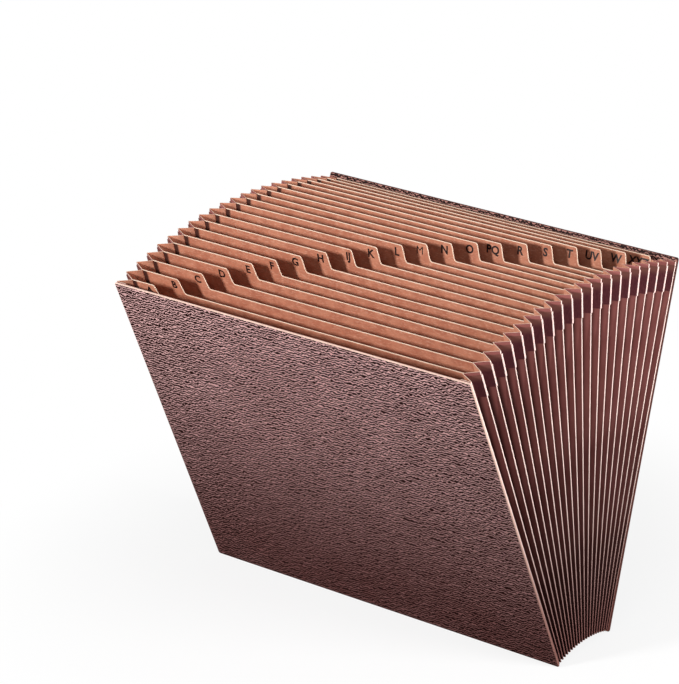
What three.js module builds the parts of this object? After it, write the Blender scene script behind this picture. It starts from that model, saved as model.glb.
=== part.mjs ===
// Expanding file: an open A to Z accordion file of covered board and pleated paper.
// Millimetres. Width along X, front cover towards -Y, pockets open towards +Z.
//
// The file stands open as a fan. Every sheet lies in a plane through one axis
// below the floor, so a place on it is a distance across the file (x), a radius
// from that axis, and an angle from the upright middle plane.
import * as THREE from 'three';

// Driving dimensions
const fileWidth = 305;
const coverHeight = 262;
const coverThickness = 1.5;
const coverCornerRadius = 1.5;
const fanHalfAngle = THREE.MathUtils.degToRad(19.7); // lean of each cover
const baseSpread = 58; // between the covers' inner faces at the floor
const paperThickness = 0.35;
const contactGap = 0.3; // between glued or touching sheets

// The pleats
const pleatFace = 11.2; // width of one pleat, fold to fold
const creaseWidth = 0.5; // flat width of a folded edge
const foldInset = 1; // outer folds behind the covers' edges
const flangeWidth = 9; // glued strip inside each cover

// The index dividers, each high up to its tab and low beyond it
const indexNames = [
  'a', 'b', 'c', 'd', 'e', 'f', 'g', 'h', 'ij', 'k', 'l',
  'm', 'n', 'o', 'pq', 'r', 's', 't', 'uv', 'w', 'xyz',
];
const tabRise = 0.4; // high edge above the pleats' top
const tabDrop = 12; // high edge down to the low edge
const tabSlope = 5; // width of the curve between them
const firstTabEnd = 21; // from the divider's left side
const lastTabMargin = 6; // from its right side

// The reinforcing tape across the pleats
const tapeWidth = 18;
const tapeBelowTop = 2.5;
const tapeThickness = 0.25;

// Smoothness
const radialSteps = 3; // along a pleat, bottom to top
const tabCurveSteps = 8;

// Worked out from the sizes above
const halfWidth = fileWidth / 2;
const bottomRadius = baseSpread / 2 / Math.sin(fanHalfAngle);
const topRadius = bottomRadius + coverHeight;
const floorRadius = bottomRadius * Math.cos(fanHalfAngle) - coverThickness * Math.sin(fanHalfAngle);
const pleatCount = indexNames.length;
const halfPitchAngle = fanHalfAngle / pleatCount;
const outerFoldX = halfWidth - foldInset;
const outerFoldRadius = bottomRadius + foldInset;
const mitreGap = contactGap / Math.SQRT2;
const tapeTop = topRadius - tapeBelowTop;
const tapeBottom = tapeTop - tapeWidth;

// A paper pleat keeps its width, so it is shallower where the fan spreads it more.
function pleatDepth(radius) {
  return Math.sqrt(pleatFace ** 2 - (radius * halfPitchAngle) ** 2);
}
const innerFoldRadius = outerFoldRadius + pleatDepth(outerFoldRadius);

// Angle of a place in the fan, counted in pleats from the front cover.
function fanAngle(pleats) {
  return (2 * pleats - pleatCount) * halfPitchAngle;
}

// Materials, one for each mesh
function boardMaterial() {
  return new THREE.MeshStandardMaterial({ color: 0x6a4338, roughness: 0.55, metalness: 0 });
}
function pleatMaterial() {
  return new THREE.MeshStandardMaterial({ color: 0x7d4a3c, roughness: 0.7, metalness: 0 });
}
function dividerMaterial() {
  return new THREE.MeshStandardMaterial({ color: 0x9c5f48, roughness: 0.75, metalness: 0 });
}
function tapeMaterial() {
  return new THREE.MeshStandardMaterial({ color: 0x5a2c2e, roughness: 0.5, metalness: 0 });
}

function makeMesh(name, geometry, material) {
  const mesh = new THREE.Mesh(geometry, material);
  mesh.name = name;
  return mesh;
}

// The fan's axis is the origin of everything inside this group.
const fan = new THREE.Group();
fan.position.z = -floorRadius;

// A flat sheet drawn in x and radius, stood up at its angle in the fan. Its
// front and back faces are at the given distances from that plane, front first.
function addSheet(name, outline, angle, front, back, material) {
  const geometry = new THREE.ExtrudeGeometry(outline, {
    depth: front - back,
    bevelEnabled: false,
    curveSegments: tabCurveSteps,
  });
  geometry.translate(0, 0, back);
  const mesh = makeMesh(name, geometry, material);
  mesh.rotation.x = Math.PI / 2 - angle;
  fan.add(mesh);
}

// Covers
function coverOutline() {
  const shape = new THREE.Shape();
  const r = coverCornerRadius;
  shape.moveTo(-halfWidth + r, bottomRadius);
  shape.lineTo(halfWidth - r, bottomRadius);
  shape.absarc(halfWidth - r, bottomRadius + r, r, -Math.PI / 2, 0);
  shape.lineTo(halfWidth, topRadius - r);
  shape.absarc(halfWidth - r, topRadius - r, r, 0, Math.PI / 2);
  shape.lineTo(-halfWidth + r, topRadius);
  shape.absarc(-halfWidth + r, topRadius - r, r, Math.PI / 2, Math.PI);
  shape.lineTo(-halfWidth, bottomRadius + r);
  shape.absarc(-halfWidth + r, bottomRadius + r, r, Math.PI, Math.PI * 1.5);
  return shape;
}
addSheet('front_cover', coverOutline(), -fanHalfAngle, coverThickness, 0, boardMaterial());
addSheet('back_cover', coverOutline(), fanHalfAngle, 0, -coverThickness, boardMaterial());

// Dividers, each between two inner folds of the sides and on one of the bottom
function dividerHalfWidth(radius) {
  return outerFoldX - pleatDepth(Math.min(radius, topRadius)) - paperThickness / 2 - contactGap;
}
const dividerBottom = innerFoldRadius + paperThickness / 2 + contactGap;
const dividerHigh = topRadius + tabRise;
const dividerLow = dividerHigh - tabDrop;

function dividerOutline(tabEnd) {
  const shape = new THREE.Shape();
  const sideHeight = (step) => dividerBottom + ((dividerLow - dividerBottom) * step) / radialSteps;
  shape.moveTo(-dividerHalfWidth(dividerBottom), dividerBottom);
  for (let step = 0; step <= radialSteps; step += 1) {
    const radius = sideHeight(step);
    shape.lineTo(dividerHalfWidth(radius), radius);
  }
  shape.lineTo(tabEnd + tabSlope / 2, dividerLow);
  shape.bezierCurveTo(tabEnd, dividerLow, tabEnd, dividerHigh, tabEnd - tabSlope / 2, dividerHigh);
  shape.lineTo(-dividerHalfWidth(topRadius), dividerHigh);
  for (let step = radialSteps; step > 0; step -= 1) {
    const radius = sideHeight(step);
    shape.lineTo(-dividerHalfWidth(radius), radius);
  }
  return shape;
}

const tabSpan = 2 * dividerHalfWidth(dividerLow) - firstTabEnd - lastTabMargin;
const tabPitch = tabSpan / (pleatCount - 1);
indexNames.forEach((name, index) => {
  const tabEnd = firstTabEnd - dividerHalfWidth(dividerLow) + index * tabPitch;
  addSheet(
    `divider_${name}`, dividerOutline(tabEnd), fanAngle(index + 0.5),
    paperThickness / 2, -paperThickness / 2, dividerMaterial(),
  );
});

// Pleated strips. A strip is first a folded line in a flat section, then a band
// of the paper's thickness on both sides of it, then a run of such bands.

// The line shifted sideways, with its corners where the shifted runs cross.
function shiftLine(line, distance) {
  const runs = [];
  for (let i = 0; i + 1 < line.length; i += 1) {
    const along = line[i + 1].clone().sub(line[i]).normalize();
    const side = new THREE.Vector2(along.y, -along.x).multiplyScalar(distance);
    runs.push({ start: line[i].clone().add(side), end: line[i + 1].clone().add(side), along });
  }
  const corners = [runs[0].start];
  for (let i = 1; i < runs.length; i += 1) {
    const before = runs[i - 1];
    const after = runs[i];
    const reach = after.start.clone().sub(before.end).cross(after.along)
      / before.along.cross(after.along);
    corners.push(before.end.clone().addScaledVector(before.along, reach));
  }
  corners.push(runs[runs.length - 1].end);
  return corners;
}

function bandAround(line, outside, inside) {
  return [...shiftLine(line, outside), ...shiftLine(line, inside).reverse()];
}

// A closed solid through rings of points. Each ring is a band: a point and the
// one as far from the ring's other end face each other across the paper.
function loftBands(rings) {
  const size = rings[0].length;
  const corners = [];
  const addQuad = (a, b, c, d) => corners.push(a, b, c, a, c, d);
  for (let ring = 0; ring + 1 < rings.length; ring += 1) {
    const [low, high] = [rings[ring], rings[ring + 1]];
    for (let i = 0; i < size; i += 1) {
      const next = (i + 1) % size;
      // A twisted pleat is split along the same diagonal on both of its faces.
      if (i < size / 2) addQuad(low[i], low[next], high[next], high[i]);
      else addQuad(high[i], low[i], low[next], high[next]);
    }
  }
  const first = rings[0];
  const last = rings[rings.length - 1];
  for (let i = 0; i + 1 < size / 2; i += 1) {
    const facing = size - 1 - i;
    addQuad(first[i], first[facing], first[facing - 1], first[i + 1]);
    addQuad(last[i], last[i + 1], last[facing - 1], last[facing]);
  }
  let volume = 0;
  for (let i = 0; i < corners.length; i += 3) {
    volume += corners[i].dot(corners[i + 1].clone().cross(corners[i + 2]));
  }
  if (volume < 0) corners.reverse();
  return new THREE.BufferGeometry().setFromPoints(corners);
}

// The corners of the folded line. Depth is 0 at an outer fold and 1 at an inner
// one, pleats says where in the fan, and spread opens the flat of the crease.
function pleatCorners() {
  const list = [];
  for (let fold = 1; fold < 2 * pleatCount; fold += 1) {
    const depth = fold % 2;
    list.push({ depth, pleats: fold / 2, spread: -creaseWidth / 2 });
    list.push({ depth, pleats: fold / 2, spread: creaseWidth / 2 });
  }
  return list;
}

// Side strip: its section at one radius, x across and arc length along the fan.
const flangeOffset = contactGap + paperThickness / 2; // its middle from the cover's face
function sideLine(radius) {
  const arc = fanHalfAngle * radius;
  const flangeX = halfWidth - flangeWidth;
  const line = [
    new THREE.Vector2(flangeX, flangeOffset - arc),
    new THREE.Vector2(outerFoldX, flangeOffset - arc),
    new THREE.Vector2(outerFoldX, flangeOffset + creaseWidth - arc),
  ];
  for (const corner of pleatCorners()) {
    const x = outerFoldX - corner.depth * pleatDepth(radius);
    line.push(new THREE.Vector2(x, radius * fanAngle(corner.pleats) + corner.spread));
  }
  line.push(
    new THREE.Vector2(outerFoldX, arc - flangeOffset - creaseWidth),
    new THREE.Vector2(outerFoldX, arc - flangeOffset),
    new THREE.Vector2(flangeX, arc - flangeOffset),
  );
  return line;
}

function fanPoint(x, radius, arc) {
  return new THREE.Vector3(x, radius * Math.sin(arc / radius), radius * Math.cos(arc / radius));
}

function sideSection(radius) {
  return bandAround(sideLine(radius), paperThickness / 2, -paperThickness / 2);
}

// Each point of the strip starts on the mitre with the bottom strip.
function sideGeometry(hand) {
  const starts = sideSection(innerFoldRadius).map(
    (point) => bottomRadius + halfWidth - point.x + mitreGap,
  );
  const ring = (radiusFrom) => starts.map((start, i) => {
    const radius = radiusFrom(start);
    const point = sideSection(radius)[i];
    return fanPoint(hand * point.x, radius, point.y);
  });
  const rings = [];
  for (let step = 0; step <= radialSteps; step += 1) {
    rings.push(ring((start) => start + ((tapeBottom - start) * step) / radialSteps));
  }
  rings.push(ring(() => topRadius));
  return loftBands(rings);
}
fan.add(makeMesh('gusset_left', sideGeometry(-1), pleatMaterial()));
fan.add(makeMesh('gusset_right', sideGeometry(1), pleatMaterial()));

// Bottom strip: its section in y and z, the same at every x up to the mitres.
function polarPoint(radius, angle, spread) {
  return new THREE.Vector2(
    radius * Math.sin(angle) + spread * Math.cos(angle),
    radius * Math.cos(angle) - spread * Math.sin(angle),
  );
}

function bottomLine() {
  const flangeTop = bottomRadius + flangeWidth;
  const line = [
    polarPoint(flangeTop, -fanHalfAngle, flangeOffset),
    polarPoint(outerFoldRadius, -fanHalfAngle, flangeOffset),
    polarPoint(outerFoldRadius, -fanHalfAngle, flangeOffset + creaseWidth),
  ];
  for (const corner of pleatCorners()) {
    const radius = outerFoldRadius + corner.depth * (innerFoldRadius - outerFoldRadius);
    line.push(polarPoint(radius, fanAngle(corner.pleats), corner.spread));
  }
  line.push(
    polarPoint(outerFoldRadius, fanHalfAngle, -flangeOffset - creaseWidth),
    polarPoint(outerFoldRadius, fanHalfAngle, -flangeOffset),
    polarPoint(flangeTop, fanHalfAngle, -flangeOffset),
  );
  return line;
}

function bottomGeometry() {
  const band = bandAround(bottomLine(), paperThickness / 2, -paperThickness / 2);
  const ring = (hand) => band.map((point) => {
    const reach = halfWidth - (point.length() - bottomRadius) - mitreGap;
    return new THREE.Vector3(hand * reach, point.x, point.y);
  });
  return loftBands([ring(-1), ring(1)]);
}
fan.add(makeMesh('gusset_bottom', bottomGeometry(), pleatMaterial()));

// Tape: a strip laid over the outside of the side pleats, from cover to cover.
function tapeSection(radius) {
  const pleats = sideLine(radius).slice(2, -2);
  const line = [pleats[0]];
  for (let i = 1; i + 1 < pleats.length; i += 2) {
    const [first, second] = [pleats[i], pleats[i + 1]];
    if (first.x === outerFoldX) {
      line.push(first, second);
      continue;
    }
    // In a valley the tape turns where the two pleats would meet.
    const before = pleats[i - 1];
    const slope = (first.y - before.y) / (before.x - first.x);
    line.push(new THREE.Vector2(first.x - creaseWidth / 2 / slope, (first.y + second.y) / 2));
  }
  line.push(pleats[pleats.length - 1]);
  const inside = paperThickness / 2 + contactGap;
  return bandAround(line, inside + tapeThickness, inside);
}

function tapeGeometry(hand) {
  const ring = (radius) => tapeSection(radius).map(
    (point) => fanPoint(hand * point.x, radius, point.y),
  );
  return loftBands([ring(tapeBottom), ring(tapeTop)]);
}
fan.add(makeMesh('tape_left', tapeGeometry(-1), tapeMaterial()));
fan.add(makeMesh('tape_right', tapeGeometry(1), tapeMaterial()));

const expandingFile = new THREE.Group();
expandingFile.add(fan);

export default expandingFile;
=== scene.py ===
# %% [markdown]
# # An open expanding file
#
# The real thing is an accordion file: two stiff boards, a strip of pleated
# paper round three sides, and a tabbed divider glued into every inner fold.
# Opened wide, it stands as a fan. All of its sheets lie in planes through one
# axis under the floor, so this lesson measures places by the distance across
# the file, the radius from that axis and the angle from upright.
#
# The sheets could all be drawn afresh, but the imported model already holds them
# at their true size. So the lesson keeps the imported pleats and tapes, gives
# them paper finishes, and remakes only the boards and the dividers, whose cut
# edges and slight bows are what the eye reads as card and paper.

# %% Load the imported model
import math
import random

import bmesh
import bpy
from mathutils import Matrix, Vector, noise


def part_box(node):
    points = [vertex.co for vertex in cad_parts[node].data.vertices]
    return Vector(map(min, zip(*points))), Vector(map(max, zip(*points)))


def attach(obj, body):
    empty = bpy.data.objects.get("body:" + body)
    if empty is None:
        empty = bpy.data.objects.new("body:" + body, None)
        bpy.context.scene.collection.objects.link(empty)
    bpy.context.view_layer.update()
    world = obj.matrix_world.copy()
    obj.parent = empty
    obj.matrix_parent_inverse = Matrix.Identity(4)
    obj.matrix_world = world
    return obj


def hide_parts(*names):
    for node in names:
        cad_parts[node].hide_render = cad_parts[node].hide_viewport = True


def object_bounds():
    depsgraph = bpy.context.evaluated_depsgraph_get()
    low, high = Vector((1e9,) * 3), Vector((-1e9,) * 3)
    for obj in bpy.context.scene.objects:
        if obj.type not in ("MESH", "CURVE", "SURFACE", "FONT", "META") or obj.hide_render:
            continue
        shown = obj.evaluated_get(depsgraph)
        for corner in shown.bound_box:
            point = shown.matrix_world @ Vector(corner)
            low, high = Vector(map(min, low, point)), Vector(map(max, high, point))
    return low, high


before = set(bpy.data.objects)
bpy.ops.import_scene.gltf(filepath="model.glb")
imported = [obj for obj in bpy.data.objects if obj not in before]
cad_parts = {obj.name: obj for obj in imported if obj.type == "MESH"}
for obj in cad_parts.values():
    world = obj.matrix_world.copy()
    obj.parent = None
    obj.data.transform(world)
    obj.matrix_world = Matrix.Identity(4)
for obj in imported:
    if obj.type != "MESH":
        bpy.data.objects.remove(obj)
cad_low, cad_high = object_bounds()
print("packed model, metres:", tuple(round(v, 4) for v in cad_high - cad_low))

# %% Sizes of the fan, in metres
MM = 0.001
FAN_HALF_ANGLE = math.radians(19.7)
BASE_SPREAD = 58 * MM
COVER_HEIGHT = 262 * MM
COVER_THICKNESS = 1.5 * MM
DIVIDER_HALF_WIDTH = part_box("divider_l")[1].x

BOTTOM_RADIUS = BASE_SPREAD / 2 / math.sin(FAN_HALF_ANGLE)
TOP_RADIUS = BOTTOM_RADIUS + COVER_HEIGHT
FLOOR_RADIUS = BOTTOM_RADIUS * math.cos(FAN_HALF_ANGLE) - COVER_THICKNESS * math.sin(FAN_HALF_ANGLE)
AXIS = Vector((0, 0, -FLOOR_RADIUS))
print("sheets run from radius", round(BOTTOM_RADIUS / MM, 1), "to", round(TOP_RADIUS / MM, 1), "mm")

# %% [markdown]
# ## Writing shader maths
#
# A finish is easier to read as a formula than as a web of nodes. The small
# class below stands for one shader socket. Arithmetic on it adds Math nodes,
# so `1 - mask` means what it says.

# %% One socket, and one finish
class Flow:
    """A shader socket that can be used in arithmetic."""

    def __init__(self, finish, socket):
        self.finish = finish
        self.socket = socket

    def __add__(self, other):
        return self.finish.math("ADD", self, other)

    def __sub__(self, other):
        return self.finish.math("SUBTRACT", self, other)

    def __rsub__(self, other):
        return self.finish.math("SUBTRACT", other, self)

    def __mul__(self, other):
        return self.finish.math("MULTIPLY", self, other)

    def __abs__(self):
        return self.finish.math("ABSOLUTE", self)

    __radd__ = __add__
    __rmul__ = __mul__

    def between(self, low, high):
        """0 below low, 1 above high, and a smooth step from one to the other."""
        settings = {"interpolation_type": "SMOOTHSTEP"}
        return self.finish.node("ShaderNodeMapRange", settings, {0: self, 1: low, 2: high})


class Finish:
    """A material with one Principled shader, built up by expressions."""

    def __init__(self, name, roughness, specular):
        self.material = bpy.data.materials.new(name)
        self.material.use_nodes = True
        self.tree = self.material.node_tree
        self.shader = self.tree.nodes["Principled BSDF"]
        self.shader.inputs["Roughness"].default_value = roughness
        self.shader.inputs["Specular IOR Level"].default_value = specular
        self.place = self.node("ShaderNodeTexCoord", output="Object")

    def node(self, kind, settings=None, inputs=None, output=0):
        """Add a node: first its settings, then the values or links of its sockets."""
        made = self.tree.nodes.new(kind)
        for key, value in (settings or {}).items():
            setattr(made, key, value)
        for key, value in (inputs or {}).items():
            self.feed(made.inputs[key], value)
        return Flow(self, made.outputs[output])

    def feed(self, socket, value):
        if isinstance(value, Flow):
            self.tree.links.new(value.socket, socket)
        else:
            socket.default_value = value

    def math(self, operation, *values):
        return self.node("ShaderNodeMath", {"operation": operation}, dict(enumerate(values)))

    def mix(self, factor, first, second):
        """One colour turning into another as the factor goes from 0 to 1."""
        inputs = {0: factor, 6: rgba(first), 7: rgba(second)}
        return self.node("ShaderNodeMix", {"data_type": "RGBA"}, inputs, output=2)

    def axes(self):
        """The three numbers of a place."""
        split = self.node("ShaderNodeSeparateXYZ", inputs={0: self.place})
        return [Flow(self, out) for out in split.socket.node.outputs]

    def radius(self):
        """The distance of a place from the fan's axis."""
        _, along, height = self.axes()
        rise = height + FLOOR_RADIUS
        return self.math("SQRT", along * along + rise * rise)

    def turned(self, turn=(0, 0, 0), scale=(1, 1, 1)):
        inputs = {"Vector": self.place, "Rotation": turn, "Scale": scale}
        return self.node("ShaderNodeMapping", inputs=inputs)

    def noise(self, place, per_metre, detail=2.0):
        """Cloudy noise, with about this many clouds to the metre."""
        inputs = {"Vector": place, "Scale": per_metre, "Detail": detail}
        return self.node("ShaderNodeTexNoise", inputs=inputs)

    def bump(self, height, distance, strength):
        inputs = {"Height": height, "Distance": distance, "Strength": strength}
        self.feed(self.shader.inputs["Normal"], self.node("ShaderNodeBump", inputs=inputs))

    def colour(self, value):
        self.feed(self.shader.inputs["Base Color"], rgba(value))


def rgba(value):
    return value if isinstance(value, Flow) else (*value, 1.0)


def srgb(red, green, blue):
    """A colour as it looks on a screen, 0 to 255, turned into light."""

    def linear(v):
        v /= 255
        return v / 12.92 if v <= 0.04045 else ((v + 0.055) / 1.055) ** 2.4

    return linear(red), linear(green), linear(blue)


# %% [markdown]
# ## The covers' grained board
#
# The boards are wrapped in an embossed paper that looks like leather: short,
# wavy wrinkles run across the cover every 2 or 3 mm, light on their ridges and
# almost black in their grooves. That light and dark is partly the grain's own
# colour and partly a painted highlight and painted shade of the relief. Noise
# alone gives speckles. Bands that a fine noise pushes up and down break into just
# such wrinkles. The paper is painted lighter towards the top and darker towards
# the foot, as painted light.

# %% The grained finish
SOFT_CLOUDS = (0.3, 0.7)
WAVE_PERIOD = math.tau / 20
WRINKLE_PITCH = 2.3 * MM
WRINKLE_SHORTENING = 1.3
GROOVE_LEVEL, RIDGE_LEVEL = 0.42, 0.7
GRAIN_RELIEF = 0.8 * MM
GRAIN_PAINTED_LIGHT_FADE = (-20 * MM, 270 * MM)
DULLEST_SHARE = 0.3


def make_grain(name, lean, top, foot):
    """The grain of a board that leans by this angle, painted light from its top colour down to its
    darker foot colour.
    """
    finish = Finish(name, roughness=0.6, specular=0.14)
    flat = finish.turned(turn=(lean, 0, 0), scale=(WRINKLE_SHORTENING, 1, 1))
    bands = {"Vector": flat, "Scale": WAVE_PERIOD / WRINKLE_PITCH, "Distortion": 6.0}
    bands |= {"Detail": 1.0, "Detail Scale": 2.4, "Detail Roughness": 0.4}
    settings = {"wave_type": "BANDS", "bands_direction": "Z"}
    waves = finish.node("ShaderNodeTexWave", settings, bands, output=1)
    ridge_clear_of_painted_shade = waves.between(GROOVE_LEVEL, RIDGE_LEVEL)
    # Painted light: the grain is lighter towards the top and darker towards the foot.
    painted_light = finish.mix(finish.axes()[2].between(*GRAIN_PAINTED_LIGHT_FADE), foot, top)
    patches = finish.noise(flat, per_metre=30, detail=3.0)
    dulled = patches.between(*SOFT_CLOUDS) * DULLEST_SHARE
    dull = finish.mix(dulled, painted_light, srgb(150, 110, 108))
    # Near-black grooves and light ridges: the grain's own colour, deepened by painted shade and
    # painted highlight.
    finish.colour(finish.mix(ridge_clear_of_painted_shade, srgb(34, 3, 0), dull))
    finish.bump(ridge_clear_of_painted_shade, GRAIN_RELIEF, strength=1.0)
    return finish.material


# %% [markdown]
# ## Paper
#
# The dividers are smooth kraft card in a warm terracotta. It has faint
# cloudy patches and short fibres. Each sheet is glued into its fold, and a
# painted shadow darkens a strip along its left side, where the pleat in front
# would shade it. The cut edge shows the pale core, and that thin bright line
# along every top edge is what separates one sheet from the next. The edge is a
# finish of its own, on its own faces.

# %% Divider card and its cut edge
FIRM_CLOUDS = (0.35, 0.65)
FIBRE_LEVELS = (0.5, 0.7)
FIBRE_SHARE = 0.3
PAINTED_SHADOW_WIDTH = 3.4 * MM
PAINTED_SHADOW_BLUR = 0.7 * MM
PAINTED_SHADOW_SHARE = 0.95
CARD_RELIEF = 0.03 * MM
EDGE_RELIEF = 0.05 * MM
EDGE_SHADE_FADE_TOP = 260 * MM


def make_card(name, base, cloud, glued_with_painted_shadow=False):
    finish = Finish(name, roughness=0.72, specular=0.25)
    clouds = finish.noise(finish.place, per_metre=110, detail=4.0)
    fibres = finish.noise(finish.turned(scale=(0.35, 1, 1)), per_metre=1100)
    tone = finish.mix(clouds.between(*FIRM_CLOUDS), base, cloud)
    pale = fibres.between(*FIBRE_LEVELS) * FIBRE_SHARE
    tone = finish.mix(pale, tone, srgb(240, 192, 166))
    # Painted shadow: a dark strip along the sheet's left end, where the pleat in front would shade
    # it.
    if glued_with_painted_shadow:
        inner = PAINTED_SHADOW_WIDTH - DIVIDER_HALF_WIDTH
        painted_shadow = 1 - finish.axes()[0].between(inner - PAINTED_SHADOW_BLUR, inner + 2 * PAINTED_SHADOW_BLUR)
        tone = finish.mix(painted_shadow * PAINTED_SHADOW_SHARE, tone, srgb(50, 18, 14))
    finish.colour(tone)
    finish.bump(fibres, CARD_RELIEF, strength=0.5)
    return finish.material


def make_cut_edge(name, base, cloud, relief=EDGE_RELIEF, foot=None):
    """The core of a sheet; given a foot colour, it turns darker into it towards the floor, as
    painted shade.
    """
    finish = Finish(name, roughness=0.8, specular=0.2)
    fibres = finish.noise(finish.place, per_metre=900, detail=3.0)
    tone = finish.mix(fibres.between(*FIRM_CLOUDS), base, cloud)
    if foot:
        tone = finish.mix(finish.axes()[2].between(0, EDGE_SHADE_FADE_TOP), foot, tone)
    finish.colour(tone)
    if relief:
        finish.bump(fibres, relief, strength=0.6)
    return finish.material


# %% [markdown]
# ## Pleated paper
#
# The pleats are a dark red-brown outside and as light as the dividers inside.
# Where the paper was creased, the colour has cracked and the pale core shows
# as a line down every outer fold; its brightness is partly this wear and partly
# a painted highlight. The line could be modelled as a strip of its own, but the
# folds all lie at one distance across the file, so it is a step on that
# distance. The paper and the line are painted darker towards the floor, as
# painted shade, and painted shade also darkens the valleys. The tape over the
# tops of the pleats is a smooth cloth, lighter along its top and creased pale on
# the same folds, the crease again partly a painted highlight.

# %% Pleats
OUTER_FOLD_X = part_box("gusset_right")[1].x
CREASE_WIDTH = 0.22 * MM
CREASE_RAGGEDNESS = 0.3 * MM
CREASE_SHADE_FADE_TOP = 200 * MM
VALLEY_SHADE_FULL = 5.68 * MM
VALLEY_SHADE_START = 2.28 * MM
VALLEY_SHADE_SHARE = 0.85
LIT_TOP = (6 * MM, 3 * MM)
PLEAT_PAINTED_SHADE_FADE = (-30 * MM, 260 * MM)
PLEAT_RELIEF = 0.04 * MM
print("outer folds at x, mm:", round(OUTER_FOLD_X / MM, 2))


def near_top(finish, start, end):
    """0 lower than start below the pleats' top, and 1 higher than end."""
    return finish.radius().between(TOP_RADIUS - start, TOP_RADIUS - end)


def make_pleats(name):
    finish = Finish(name, roughness=0.7, specular=0.12)
    across, _, height = finish.axes()
    side = abs(across)
    clouds = finish.noise(finish.place, per_metre=60, detail=4.0)
    head = finish.mix(clouds.between(*SOFT_CLOUDS), srgb(148, 88, 83), srgb(161, 99, 94))
    # Painted shade: the paper darkens towards the floor.
    paper = finish.mix(height.between(*PLEAT_PAINTED_SHADE_FADE), srgb(54, 29, 27), head)
    ridge_clear_of_painted_shade = side.between(OUTER_FOLD_X - VALLEY_SHADE_FULL, OUTER_FOLD_X - VALLEY_SHADE_START)
    # Painted shade: the valleys between the outer folds are darkened, except near the lit top.
    valley_painted_shade = (1 - ridge_clear_of_painted_shade) * (1 - near_top(finish, *LIT_TOP))
    paper = finish.mix(valley_painted_shade * VALLEY_SHADE_SHARE, paper, srgb(26, 6, 6))
    worn = finish.noise(finish.place, per_metre=400, detail=3.0)
    reach = OUTER_FOLD_X - CREASE_WIDTH + (worn - 0.5) * CREASE_RAGGEDNESS
    crease = finish.math("GREATER_THAN", side, reach)
    # The crease line is pale wear brightened by a painted highlight, and it fades towards the floor
    # as painted shade.
    crease_wear_and_highlight = finish.mix(height.between(0, CREASE_SHADE_FADE_TOP), srgb(112, 72, 68), srgb(255, 226, 216))
    finish.colour(finish.mix(crease, paper, crease_wear_and_highlight))
    fibres = finish.noise(finish.turned(scale=(1, 1, 0.4)), per_metre=1300)
    finish.bump(fibres, PLEAT_RELIEF, strength=0.5)
    return finish.material


# %% Tape
TAPE_FOLD_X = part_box("tape_right")[1].x
TAPE_CREASE_FULL = 0.12 * MM
TAPE_RELIEF = 0.06 * MM
LIGHTER_TOP = (9 * MM, 4 * MM)
print("tape folds at x, mm:", round(TAPE_FOLD_X / MM, 2))


def make_tape(name):
    finish = Finish(name, roughness=0.6, specular=0.15)
    threads = finish.noise(finish.turned(scale=(1, 1, 0.3)), per_metre=1500, detail=3.0)
    cloth = finish.mix(threads.between(*SOFT_CLOUDS), srgb(88, 42, 48), srgb(104, 54, 58))
    cloth = finish.mix(near_top(finish, *LIGHTER_TOP), cloth, srgb(124, 78, 70))
    side = abs(finish.axes()[0])
    crease = side.between(TAPE_FOLD_X - CREASE_WIDTH, TAPE_FOLD_X - TAPE_CREASE_FULL)
    # The tape's pale crease is partly wear and partly a painted highlight.
    finish.colour(finish.mix(crease, cloth, srgb(250, 216, 208)))
    finish.bump(threads, TAPE_RELIEF, strength=0.7)
    return finish.material


# %% [markdown]
# ## The file's finishes
#
# Each finish is made once and shared by the pieces that have it. Only the
# grain is made for each board, because its pattern is turned into the plane of
# the board, and once more, darker as painted shade, for the strip that is turned
# in over the back board's top. The strip underneath the file is plain: the
# painted shade of the side pleats' valleys would make it nearly black.

# %% Make every paper finish
PLEATS = make_pleats("pleated_paper")
TAPE = make_tape("reinforcing_tape")
CARD = make_card("divider_card", srgb(183, 114, 88), srgb(200, 132, 104), glued_with_painted_shadow=True)
PLEATS_INSIDE = make_card("pleated_paper_inside", srgb(192, 128, 102), srgb(206, 142, 115))
PLEATS_BELOW = make_card("pleated_paper_below", srgb(112, 64, 58), srgb(126, 74, 68))
LINING = make_card("cover_lining", srgb(150, 92, 74), srgb(164, 104, 84))
CARD_EDGE = make_cut_edge("divider_cut_edge", srgb(254, 216, 190), srgb(255, 230, 208))
PLEAT_EDGE = make_cut_edge("pleat_cut_edge", srgb(246, 212, 190), srgb(255, 230, 212))
# The front board's worn pale edge, painted darker towards the floor as painted shade.
BOARD_EDGE = make_cut_edge(
    "board_worn_edge_painted_shade", srgb(236, 196, 180), srgb(250, 216, 200), relief=0, foot=srgb(134, 92, 84)
)
BOARD_DARK_EDGE = make_cut_edge("board_dark_edge", srgb(78, 42, 38), srgb(98, 56, 50), relief=0)

# Grain colours at the top and at the foot: the lighter top is painted light and the darker foot
# painted shade.
OUTSIDE_PAINTED_LIGHT_TONES = (srgb(240, 190, 188), srgb(114, 69, 66))
# A darker copy of the grain's colours: painted shade for the turned-in strip above the last
# divider.
TURNED_IN_PAINTED_SHADE_TONES = (srgb(186, 132, 120), srgb(118, 70, 67))
GRAIN_FRONT = make_grain("cover_grain_front", -FAN_HALF_ANGLE, *OUTSIDE_PAINTED_LIGHT_TONES)
GRAIN_BACK = make_grain("cover_grain_back", FAN_HALF_ANGLE, *OUTSIDE_PAINTED_LIGHT_TONES)
GRAIN_TURNED_IN_PAINTED_SHADE = make_grain("cover_grain_turned_in_painted_shade", FAN_HALF_ANGLE, *TURNED_IN_PAINTED_SHADE_TONES)
print("materials in the file:", len(bpy.data.materials))

# %% [markdown]
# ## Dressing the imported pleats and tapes
#
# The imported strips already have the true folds, so they stay as they are and
# only get finishes, face by face. A face's own direction says whether it lies
# outside, inside or on the cut top edge.

# %% Give the strips and tapes their finishes
ALIGNED = 0.9
OUTSIDE, INSIDE, CUT_EDGE = range(3)


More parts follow.
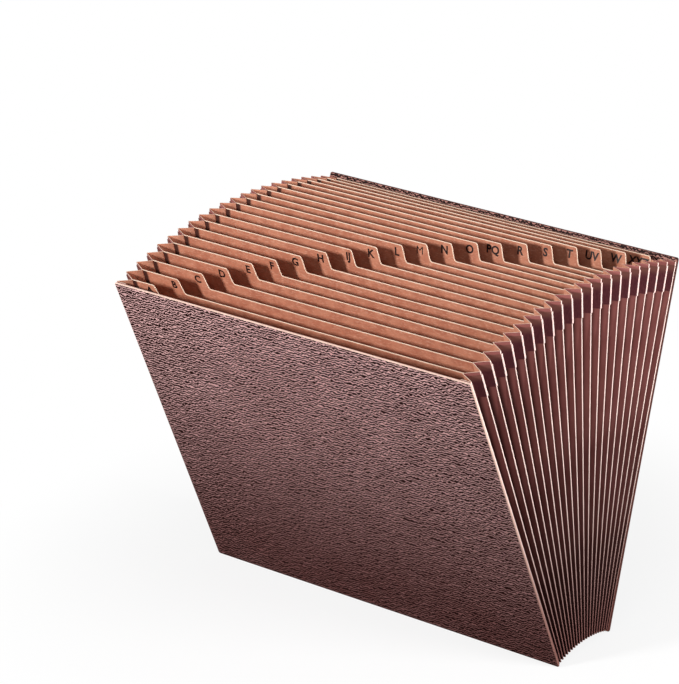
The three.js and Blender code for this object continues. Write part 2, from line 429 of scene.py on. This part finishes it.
def dress_pleats(name, side):
    """Give a strip its outside, its inside and its cut top edge.

    The side is -1 for the left strip, 1 for the right and 0 for the bottom.
    """
    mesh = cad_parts[name].data
    mesh.materials.clear()
    for material in (PLEATS if side else PLEATS_BELOW, PLEATS_INSIDE, PLEAT_EDGE):
        mesh.materials.append(material)
    for face in mesh.polygons:
        upward = (Vector((0, face.center.y, face.center.z)) - AXIS).normalized()
        outward = Vector((side, 0, 0)) if side else -upward
        if side and abs(face.normal.dot(upward)) > ALIGNED:
            face.material_index = CUT_EDGE
        else:
            face.material_index = INSIDE if face.normal.dot(outward) < 0 else OUTSIDE
    print(name, "has", len(mesh.polygons), "faces")


dress_pleats("gusset_left", -1)
dress_pleats("gusset_right", 1)
dress_pleats("gusset_bottom", 0)
for name in ("tape_left", "tape_right"):
    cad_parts[name].data.materials.clear()
    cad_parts[name].data.materials.append(TAPE)

# %% [markdown]
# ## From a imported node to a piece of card
#
# A packed sheet is a bag of loose triangles. A copy of it is merged, and its
# flat faces are dissolved into single outlines, which bmesh can then inset and
# cut. The same steps serve the boards and the dividers.

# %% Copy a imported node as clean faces
MERGE_DISTANCE = 0.001 * MM
FLAT_ANGLE = math.radians(1)


def sheet_frame(angle):
    """The directions up a sheet and out of its front face."""
    up = Vector((0, math.sin(angle), math.cos(angle)))
    front = Vector((0, -math.cos(angle), math.sin(angle)))
    return up, front


def sheet_from_node(name):
    bm = bmesh.new()
    bm.from_mesh(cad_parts[name].data)
    bmesh.ops.remove_doubles(bm, verts=bm.verts, dist=MERGE_DISTANCE)
    bmesh.ops.dissolve_limit(bm, angle_limit=FLAT_ANGLE, verts=bm.verts, edges=bm.edges)
    bmesh.ops.recalc_face_normals(bm, faces=bm.faces)
    return bm


def cut(bm, point, normal):
    """Cut every face along a plane, and keep both sides."""
    geometry = bm.verts[:] + bm.edges[:] + bm.faces[:]
    bmesh.ops.bisect_plane(
        bm, geom=geometry, plane_co=point, plane_no=normal, dist=MERGE_DISTANCE
    )


def finish_piece(name, bm, materials, node=None):
    """Turn a bmesh into a piece that rides on the file, and stands for the node if one is given."""
    mesh = bpy.data.meshes.new(name)
    bm.to_mesh(mesh)
    bm.free()
    for material in materials:
        mesh.materials.append(material)
    piece = bpy.data.objects.new(name, mesh)
    bpy.context.scene.collection.objects.link(piece)
    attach(piece, "root")
    if node:
        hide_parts(node)
    return piece


# %% [markdown]
# ## The boards
#
# Each board is a plain rectangle with its grained paper outside and a lining
# inside. The paper is turned in over the top edge, and the back board, which
# stands a little taller, shows it above the last divider. The front board's
# edges are rubbed pale and painted darker towards the floor as painted shade,
# and the back board's are dark. Every edge is softened with a small bevel, so
# that it catches the light as pressed board does.

# %% Front and back boards
EDGE_SOFTNESS = 0.6 * MM
TURNED_IN = 14 * MM
BACK_TALLER = 3 * MM
CLEAR_OF_CUT = 1 * MM
GRAIN_SIDE, LINING_SIDE, TURNED_IN_STRIP, BOARD_RIM = range(4)


def is_rim(edge, front):
    """Whether an edge has a broad face on one side only."""
    return sum(abs(face.normal.dot(front)) > ALIGNED for face in edge.link_faces) == 1


def make_board(name, node, lean, side, grain, turned_in, edge, taller=0.0):
    """Remake a cover. The side is 1 for the front board and -1 for the back one."""
    bm = sheet_from_node(node)
    up, front = sheet_frame(lean)
    turn_radius = TOP_RADIUS - TURNED_IN
    cut(bm, AXIS + up * turn_radius, up)
    for vert in bm.verts:
        if (vert.co - AXIS).dot(up) > turn_radius + CLEAR_OF_CUT:
            vert.co += up * taller
    for face in bm.faces:
        outward = face.normal.dot(front) * side
        is_low = (face.calc_center_median() - AXIS).dot(up) < turn_radius
        if abs(outward) < ALIGNED:
            face.material_index = BOARD_RIM
        elif outward < 0:
            face.material_index = LINING_SIDE if is_low else TURNED_IN_STRIP
        else:
            face.material_index = GRAIN_SIDE
    rim = [board_edge for board_edge in bm.edges if is_rim(board_edge, front)]
    bevel = {"offset": EDGE_SOFTNESS, "segments": 2, "profile": 0.5, "affect": "EDGES"}
    bmesh.ops.bevel(bm, geom=rim, material=BOARD_RIM, **bevel)
    piece = finish_piece(name, bm, [grain, LINING, turned_in, edge], node)
    print(name, "has", len(piece.data.polygons), "faces")


front_finishes = (GRAIN_FRONT, GRAIN_FRONT, BOARD_EDGE)
back_finishes = (GRAIN_BACK, GRAIN_TURNED_IN_PAINTED_SHADE, BOARD_DARK_EDGE)
make_board("front_board", "front_cover", -FAN_HALF_ANGLE, 1, *front_finishes)
make_board("back_board", "back_cover", FAN_HALF_ANGLE, -1, *back_finishes, BACK_TALLER)

# %% [markdown]
# ## The dividers
#
# Twenty-one sheets stand in the fan, each cut away beyond its own tab. Real
# card is never quite flat: between the glued sides every sheet bows a little,
# one way or the other. The copy is inset along its outline for the pale cut
# edge, sliced into cells, and then pushed along its own normal, most in the
# middle of the top and not at all where the glue holds it.

# %% How the sheets lean and bow
INDEX_NAMES = "a b c d e f g h ij k l m n o pq r s t uv w xyz".split()
INNER_FOLD_RISE = 12 * MM
INNER_FOLD_RADIUS = BOTTOM_RADIUS + INNER_FOLD_RISE
MOST_BOW = 0.9 * MM
MOST_RIPPLE = 0.5 * MM
RIPPLES_ACROSS, RIPPLES_UP = 12, 9
RIPPLE_CHANGE = 9000
BOW_TOWARDS_TOP = 1.5


def fan_angle(pleats):
    """The lean of a sheet, counted in pleats from the front cover."""
    return FAN_HALF_ANGLE * (2 * pleats / len(INDEX_NAMES) - 1)


def bow_at(x, radius, bow):
    """How far a sheet with this bow stands forward of its plane."""
    across = math.cos(math.pi / 2 * min(1, abs(x) / DIVIDER_HALF_WIDTH))
    height = max(0, (radius - INNER_FOLD_RADIUS) / (TOP_RADIUS - INNER_FOLD_RADIUS))
    ripple = noise.noise(Vector((x * RIPPLES_ACROSS, radius * RIPPLES_UP, bow * RIPPLE_CHANGE)))
    return across * height**BOW_TOWARDS_TOP * (bow + MOST_RIPPLE * ripple)


# %% Cut and bow the sheets
random.seed(21)
RIM_WIDTH = 0.55 * MM
CELL = 14 * MM
CARD_FACE, CARD_RIM = range(2)


def slice_into_cells(bm, up):
    columns = int(DIVIDER_HALF_WIDTH / CELL)
    for column in range(-columns, columns + 1):
        cut(bm, Vector((column * CELL, 0, 0)), Vector((1, 0, 0)))
    rows = int((TOP_RADIUS - INNER_FOLD_RADIUS) / CELL)
    for row in range(1, rows + 1):
        cut(bm, AXIS + up * (INNER_FOLD_RADIUS + row * CELL), up)


def make_divider(name, index):
    """Make one sheet, and give back how far it bows."""
    up, front = sheet_frame(fan_angle(index + 0.5))
    bow = random.uniform(-MOST_BOW, MOST_BOW)
    bm = sheet_from_node(f"divider_{name}")
    for face in bm.faces:
        face.material_index = CARD_RIM
    broad = sorted(bm.faces, key=lambda face: -face.calc_area())[:2]
    broad = sorted(broad, key=lambda face: -face.normal.dot(front))
    for face in broad:
        face.material_index = CARD_FACE
    rim = bmesh.ops.inset_region(bm, faces=broad, thickness=RIM_WIDTH, use_even_offset=True)
    for face in rim["faces"]:
        # Rim faces near both glued ends keep the card face, which carries the painted shadow strip
        # on the left end.
        glued_with_painted_shadow = abs(face.calc_center_median().x) > DIVIDER_HALF_WIDTH - 2 * RIM_WIDTH
        face.material_index = CARD_FACE if glued_with_painted_shadow else CARD_RIM
    slice_into_cells(bm, up)
    for vert in bm.verts:
        radius = (vert.co - AXIS).dot(up)
        vert.co += front * bow_at(vert.co.x, radius, bow)
    finish_piece(f"index_{name}", bm, [CARD, CARD_EDGE], f"divider_{name}")
    return bow


bows = {}
for index, name in enumerate(INDEX_NAMES):
    bows[name] = make_divider(name, index)
print("dividers:", len(bows))

# %% [markdown]
# ## Letters on the tabs
#
# Each tab carries its letters in dark ink, just below the sheet's top edge and
# close to its cut. They are plain index letters. They could be painted on by
# the card's finish, but text turned into thin solid shapes has crisp outlines
# and lies on the bowed face, not inside it.

# %% Ink, and where the tabs end
PAPER_THICKNESS = 0.35 * MM
TAB_RISE = 0.4 * MM
FIRST_TAB_END = 21 * MM
LAST_TAB_MARGIN = 6 * MM
INK_WEAR = (0.55, 0.8)


def make_ink(name):
    finish = Finish(name, roughness=0.55, specular=0.3)
    wear = finish.noise(finish.place, per_metre=1800)
    finish.colour(finish.mix(wear.between(*INK_WEAR), srgb(30, 8, 6), srgb(54, 22, 18)))
    return finish.material


INK = make_ink("index_ink")
tab_span = 2 * DIVIDER_HALF_WIDTH - FIRST_TAB_END - LAST_TAB_MARGIN
tab_pitch = tab_span / (len(INDEX_NAMES) - 1)
print("from one tab to the next, mm:", round(tab_pitch / MM, 2))

# %% Print the index letters
LETTER_HEIGHT = 8.2 * MM
LETTER_DROP = 8.4 * MM
LETTER_FROM_TAB = {1: 4.2 * MM, 2: 2.6 * MM, 3: 1.8 * MM}
LETTER_WEIGHT = 0.27 * MM
LETTER_ROUNDNESS = 3
INK_THICKNESS = 0.04 * MM


def letter_solids(name):
    """The letters as thin solids, lying flat. M would blot if it were made heavier."""
    text = bpy.data.curves.new(f"label_{name}", "FONT")
    text.body = name.upper()
    text.size = LETTER_HEIGHT
    text.align_x = "RIGHT"
    text.offset = 0 if name == "m" else LETTER_WEIGHT
    text.extrude = INK_THICKNESS / 2
    text.resolution_u = LETTER_ROUNDNESS
    words = bpy.data.objects.new(f"text_{name}", text)
    bpy.context.scene.collection.objects.link(words)
    bpy.context.view_layer.update()
    flat = bpy.data.meshes.new_from_object(words)
    bpy.data.objects.remove(words)
    bm = bmesh.new()
    bm.from_mesh(flat)
    bmesh.ops.remove_doubles(bm, verts=bm.verts, dist=MERGE_DISTANCE)
    return bm


def print_letters(name, index):
    """Lay the letters on the front face of their tab."""
    bm = letter_solids(name)
    up, front = sheet_frame(fan_angle(index + 0.5))
    tab_end = FIRST_TAB_END - DIVIDER_HALF_WIDTH + index * tab_pitch
    radius = TOP_RADIUS + TAB_RISE - LETTER_DROP
    lift = PAPER_THICKNESS / 2 + INK_THICKNESS
    for vert in bm.verts:
        x = tab_end - LETTER_FROM_TAB[len(name)] + vert.co.x
        height = radius + vert.co.y
        out = lift + vert.co.z + bow_at(x, height, bows[name])
        vert.co = Vector((x, 0, 0)) + AXIS + up * height + front * out
    finish_piece(f"label_{name}", bm, [INK])


for index, name in enumerate(INDEX_NAMES):
    print_letters(name, index)
print("labels:", len(INDEX_NAMES))

# %% [markdown]
# ## Stage and light
#
# The file stands on a white floor. The key lamp, ahead and to the left, lights
# the front board and throws each tab's shadow to the right, on to the next
# divider. A wide lamp high in front fills those shadows a little, and a lamp on
# the right picks out the creases of the pleats. More lamps would make the paper
# look flat. The floor looks white to the camera but sends little light back, so
# the lower half stays dark, and the boards and pleats are also painted darker
# towards the floor.

# %% Floor
WHITE = (1, 1, 1, 1)
FLOOR_PAPER = (0.95, 0.95, 0.95, 1)
FLOOR_BOUNCE = (0.18, 0.18, 0.18)
FLOOR_REACH = 6.0
FLOOR_GAP = 0.05 * MM
SHADOW_SHARE = 0.2
SHADOW_FADE = (0.015, 0.12)


def make_floor_finish(name):
    """White to the camera, with a faint shadow near the file, and grey to all other light.

    The shadow fades over squares of the distance from the middle, in square metres.
    """
    finish = Finish(name, roughness=0.9, specular=0.1)
    finish.colour(FLOOR_BOUNCE)
    east, north, _ = finish.axes()
    far = (east * east + north * north).between(*SHADOW_FADE)
    whiteness = far * SHADOW_SHARE + (1 - SHADOW_SHARE)
    glow = finish.node("ShaderNodeEmission", inputs={"Color": WHITE, "Strength": 1.0})
    paper = finish.node("ShaderNodeBsdfDiffuse", inputs={"Color": FLOOR_PAPER})
    seen = finish.node("ShaderNodeMixShader", inputs={0: whiteness, 1: paper, 2: glow})
    bounced = Flow(finish, finish.shader.outputs[0])
    from_camera = finish.node("ShaderNodeLightPath", output="Is Camera Ray")
    blend = finish.node("ShaderNodeMixShader", inputs={0: from_camera, 1: bounced, 2: seen})
    finish.feed(finish.tree.nodes["Material Output"].inputs["Surface"], blend)
    return finish.material


bm = bmesh.new()
bmesh.ops.create_grid(bm, x_segments=1, y_segments=1, size=FLOOR_REACH)
floor_mesh = bpy.data.meshes.new("stage_floor")
bm.to_mesh(floor_mesh)
bm.free()
floor_mesh.materials.append(make_floor_finish("stage_floor"))
floor = bpy.data.objects.new("stage_floor", floor_mesh)
floor.location.z = cad_low.z - FLOOR_GAP
bpy.context.scene.collection.objects.link(floor)
print("floor height, mm:", round(floor.location.z / MM, 2))

# %% White surround
SURROUND_FILL = 0.13
SURROUND_SEEN = 1.0

world = bpy.data.worlds.new("studio")
bpy.context.scene.world = world
world.use_nodes = True
sky = world.node_tree.nodes
path = sky.new("ShaderNodeLightPath")
strength = sky.new("ShaderNodeMix")
strength.inputs[2].default_value = SURROUND_FILL
strength.inputs[3].default_value = SURROUND_SEEN
world.node_tree.links.new(path.outputs["Is Camera Ray"], strength.inputs[0])
world.node_tree.links.new(strength.outputs[0], sky["Background"].inputs["Strength"])
sky["Background"].inputs["Color"].default_value = WHITE
print("surround:", world.name)

# %% Lamps
LIT_POINT = Vector((0, 0, 0.15))


def lamp(name, place, watts, size):
    """A square lamp that faces the middle of the file."""
    data = bpy.data.lights.new(name, "AREA")
    data.energy = watts
    data.size = size
    made = bpy.data.objects.new(name, data)
    made.location = place
    made.rotation_euler = (LIT_POINT - Vector(place)).to_track_quat("-Z", "Y").to_euler()
    bpy.context.scene.collection.objects.link(made)


lamp("key", (-0.85, -1.9, 1.0), watts=47, size=0.4)
lamp("wide", (0.4, -1.0, 1.4), watts=2.5, size=0.8)
lamp("side", (1.3, 0.15, 0.5), watts=20, size=0.5)
bpy.context.scene.view_settings.view_transform = "Standard"
print("lamps:", len(bpy.data.lights))

# %% [markdown]
# ## Camera
#
# The camera looks down on the front board and the pleats on the right through
# a long lens, from about two and a half metres away. It could be framed by the
# lens's shift, but a shift stays on when the camera is moved to another side
# of the file. So the camera itself is moved a little to the side and up.

# %% Place the camera
LENS_MM = 186.9
SENSOR_MM = 36
AZIMUTH = math.radians(39.875)
ELEVATION = math.radians(23.944)
ROLL = math.radians(-2.855)
DISTANCE = 2.4764
SIDEWAYS = -0.0437
UPWARDS = 0.0585
AIM = Vector((0, 0, 0.1305))

back = Vector((
    math.sin(AZIMUTH) * math.cos(ELEVATION),
    -math.cos(AZIMUTH) * math.cos(ELEVATION),
    math.sin(ELEVATION),
))
right = Vector((math.cos(AZIMUTH), math.sin(AZIMUTH), 0))
upward = back.cross(right)
rolled_right = math.cos(ROLL) * right + math.sin(ROLL) * upward
rolled_up = -math.sin(ROLL) * right + math.cos(ROLL) * upward
camera_data = bpy.data.cameras.new("camera")
camera_data.lens = LENS_MM
camera_data.sensor_width = SENSOR_MM
camera = bpy.data.objects.new("camera", camera_data)
place = AIM + back * DISTANCE + rolled_right * SIDEWAYS + rolled_up * UPWARDS
turn = Matrix((rolled_right, rolled_up, back)).transposed()
camera.matrix_world = Matrix.Translation(place) @ turn.to_4x4()
bpy.context.scene.collection.objects.link(camera)
bpy.context.scene.camera = camera
print("camera, metres:", tuple(round(v, 3) for v in place))
